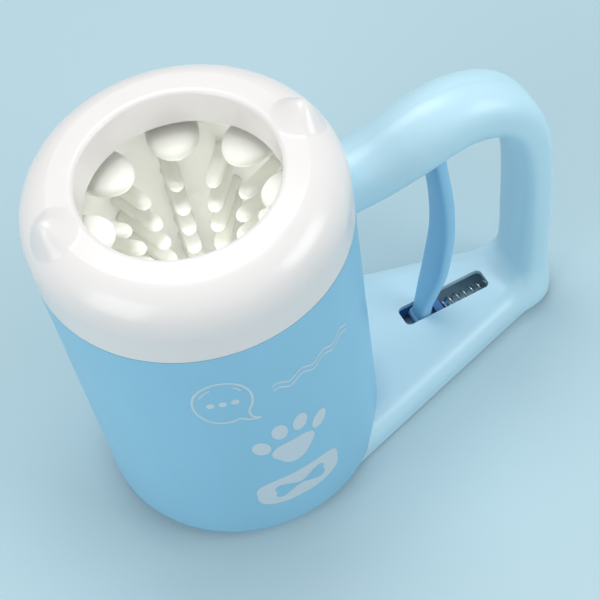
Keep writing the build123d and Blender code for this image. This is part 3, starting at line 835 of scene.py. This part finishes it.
def paw(azimuth, z, size):
    """Plain paw print: one broad pad and four toes."""
    pad = []
    for a in even_angles(60):
        reach = 1 + 0.13 * math.cos(3 * (a + math.pi / 2))
        u, v = size * 0.55 * reach * math.cos(a), size * 0.47 * reach * math.sin(a)
        pad.append((azimuth + u / MM_PER_DEGREE, z - size * 0.34 + v))
    parts = [printed_patch(pad)]
    toes = ((-0.78, 0.24, 24), (-0.27, 0.66, 8), (0.27, 0.66, -8), (0.78, 0.24, -24))
    for u, v, turn in toes:
        place = azimuth + u * size / MM_PER_DEGREE
        parts.append(printed_patch(oval(place, z + v * size, size * 0.20, size * 0.31, turn)))
    return parts


def bubble():
    """Speech bubble outline with a short tail, two inner strokes and three dots."""
    azimuth, z, half_w, half_h = -109.3, 88.6, 10.6, 11.2
    tail = (-97.2, 75.6)

    def rim(degrees, shrink=1.0):
        a = np.radians(degrees)
        return np.stack([azimuth + shrink * half_w * np.cos(a), z + shrink * half_h * np.sin(a)], -1)

    round_part = rim(np.linspace(-38, 295, 90))
    neck, heel = round_part[0], round_part[-1]
    bend = np.linspace(0, 1, 10)[:, None]
    upper = neck + (np.array(tail) - neck) * bend - np.array([1.2, 1.2]) * np.sin(bend * math.pi)
    lower = heel + (np.array(tail) - heel) * bend - np.array([0, 0.9]) * np.sin(bend * math.pi)
    parts = [printed_line(path, 0.75) for path in (round_part, upper, lower)]
    parts.append(printed_line(rim(np.linspace(112, 150, 16), 0.80), 0.55))
    parts.append(printed_line(rim(np.linspace(34, 56, 12), 0.82), 0.55))
    for shift in (-4.4, 0, 4.4):
        parts.append(printed_patch(oval(azimuth + shift, z - 0.4, 1.3, 1.3)))
    return parts


def waves():
    """Two gentle wavy lines, one above the other, drawn out towards the handle."""
    parts = []
    for z in (88.6, 86.0):
        spread = np.linspace(0, 1, 160)
        azimuth = -91 + 37 * spread
        height = z + 1.15 * np.sin(spread * 2 * math.pi * 3.6 + 0.6)
        parts.append(printed_line(np.stack([azimuth, height], -1), 0.65))
    return parts


def plaque():
    """Slim board with fully rounded ends, its lower edge bowed."""
    azimuth, middle, half_w, half_h = -88.4, 27.4, 18.2, 7.2
    outline = []
    for a in even_angles(90):
        u, v = superellipse_point(a, 3.8)
        bow = 1.2 * (1 - u * u)
        outline.append((azimuth + half_w * u, middle + half_h * v - (bow if v < 0 else 0)))
    return [printed_patch(outline)]


def superellipse_point(angle, power):
    c, s = math.cos(angle), math.sin(angle)
    return math.copysign(abs(c) ** (2 / power), c), math.copysign(abs(s) ** (2 / power), s)


def bone():
    """Plain bone shape on the plaque, as one outline: two knobs at each end of a bar."""
    azimuth, z, half_bar, knob_r, knob_v = -88.4, 26.8, 7.2, 2.1, 1.7
    knob = arc((half_bar, knob_v), knob_r, -math.degrees(math.asin(knob_v / knob_r)), 180, 26)
    right = [(u, -v) for u, v in reversed(knob)] + knob
    outline = right + [(-u, -v) for u, v in right]
    return [printed_patch([(azimuth + u / MM_PER_DEGREE, z + v) for u, v in outline], PRINT_LIFT + 0.05)]


def make_print():
    pale = mesh_piece("cup_print", *joined(bubble() + waves() + paw(-88.0, 53.5, 13.5) + plaque()))
    blue = mesh_piece("cup_print_bone", *joined(bone()))
    for piece, material in ((pale, print_ink), (blue, print_knockout)):
        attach(piece, "housing")
        paint(piece, material)


# ---- CAD nodes that keep their own shape ----
FINISHES = {
    "cup_body": cup_plastic,
    "base_cover": handle_plastic,
    "base_pad": grey_rubber,
    "tip_pad": grey_rubber,
    "collar_seal": grey_rubber,
    "spindle_seal": grey_rubber,
    "spindle_bush": brass,
    "handle_screws": steel,
    "base_screws": steel,
    "hub_screw": steel,
    "lever_pivot_pin": steel,
    "link_pin": steel,
    "gear_axle": steel,
    # painted shade: the rack and spring seat carry the dark blue that stands for the shade inside the slot
    "spring_seat": slot_shade_plastic,
    "drive_rack": slot_shade_plastic,
    "spindle_gear": gear_plastic,
    "compound_gear": gear_plastic,
    "drive_hub": gear_plastic,
    "brush_drum": drum_plastic,
}


def finish_cad_nodes():
    for node, material in FINISHES.items():
        paint(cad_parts[node], material)


# ---- room ----
def make_floor():
    half = 3000.0
    points = [(-half, -half, -0.02), (half, -half, -0.02), (half, half, -0.02), (-half, half, -0.02)]
    floor = mesh_piece("floor", points, [(0, 1, 2, 3)])
    material, tree, shader, place = new_material("floor_pale_blue")
    wash = noise(tree, place, 2.0, 2)
    tree.links.new(tinted(tree, wash, (0.41, 0.585, 0.66), (0.44, 0.61, 0.68)), shader.inputs["Base Color"])
    tree.links.new(ranged(tree, wash, 0.75, 0.85), shader.inputs["Roughness"])
    shader.inputs["Specular IOR Level"].default_value = 0.2
    paint(floor, material)


def area_light(name, at, aim, size, power, colour=(1, 1, 1)):
    data = bpy.data.lights.new(name, "AREA")
    data.shape = "RECTANGLE"
    data.size, data.size_y = size
    data.energy = power
    data.color = colour
    light = bpy.data.objects.new(name, data)
    light.location = at
    light.rotation_euler = (Vector(aim) - Vector(at)).to_track_quat("-Z", "Y").to_euler()
    bpy.context.scene.collection.objects.link(light)


def spot_light(name, at, aim, cone_degrees, power):
    """Narrow soft-edged beam, here down into the cup."""
    data = bpy.data.lights.new(name, "SPOT")
    data.spot_size = math.radians(cone_degrees)
    data.spot_blend = 0.45
    data.shadow_soft_size = 0.03
    data.energy = power
    light = bpy.data.objects.new(name, data)
    light.location = at
    light.rotation_euler = (Vector(aim) - Vector(at)).to_track_quat("-Z", "Y").to_euler()
    bpy.context.scene.collection.objects.link(light)


def glow_light(name, at, radius, power):
    """Small soft lamp that the camera and reflections don't see."""
    data = bpy.data.lights.new(name, "POINT")
    data.shadow_soft_size = radius
    data.energy = power
    light = bpy.data.objects.new(name, data)
    light.location = at
    light.visible_camera = False
    light.visible_glossy = False
    bpy.context.scene.collection.objects.link(light)


def make_lights():
    middle = (0.02, 0, 0.08)
    area_light("key_softbox", (0.14, 0.30, 1.15), middle, (0.6, 0.6), 6.0)
    area_light("left_softbox", (-1.0, -0.35, 0.55), middle, (0.7, 0.8), 5.0)
    area_light("right_fill", (1.0, -0.7, 0.7), middle, (0.8, 0.6), 6.5)
    spot_light("cup_spot", (0.02, 0.03, 1.25), (0, 0, 0.1), 4.0, 9.0)
    # hidden lamps on the cup's axis stand in for the light that the milky brush and drum pass on
    for number, z in enumerate((0.045, 0.072, 0.098)):
        glow_light(f"cup_glow_{number}", (0, 0, z), 0.012, 0.0126)
    world = bpy.data.worlds.new("soft_room")
    world.use_nodes = True
    sky = world.node_tree.nodes["Background"]
    sky.inputs["Color"].default_value = (1.0, 0.99, 0.98, 1)
    sky.inputs["Strength"].default_value = 0.52
    bpy.context.scene.world = world


CAMERA_AT = Vector((-0.0757, -0.3228, 0.52645))
CAMERA_FORWARD = Vector((0.1795, 0.5526, -0.8139))
CAMERA_UP = Vector((0.4369, 0.6965, 0.5692))
LENS = 104.42


def make_camera():
    data = bpy.data.cameras.new("camera")
    data.sensor_width = 36.0
    data.lens = LENS
    camera = bpy.data.objects.new("camera", data)
    right = CAMERA_FORWARD.cross(CAMERA_UP).normalized()
    up = right.cross(CAMERA_FORWARD).normalized()
    turn = Matrix((right, up, -CAMERA_FORWARD.normalized())).transposed()
    camera.matrix_world = Matrix.Translation(CAMERA_AT) @ turn.to_4x4()
    bpy.context.scene.collection.objects.link(camera)
    bpy.context.scene.camera = camera


make_camera()
make_lights()
make_floor()
finish_cad_nodes()
make_collar()
make_handle()
make_lever()
make_brush()
make_spring()
make_print()

bpy.context.scene.view_settings.view_transform = "Standard"
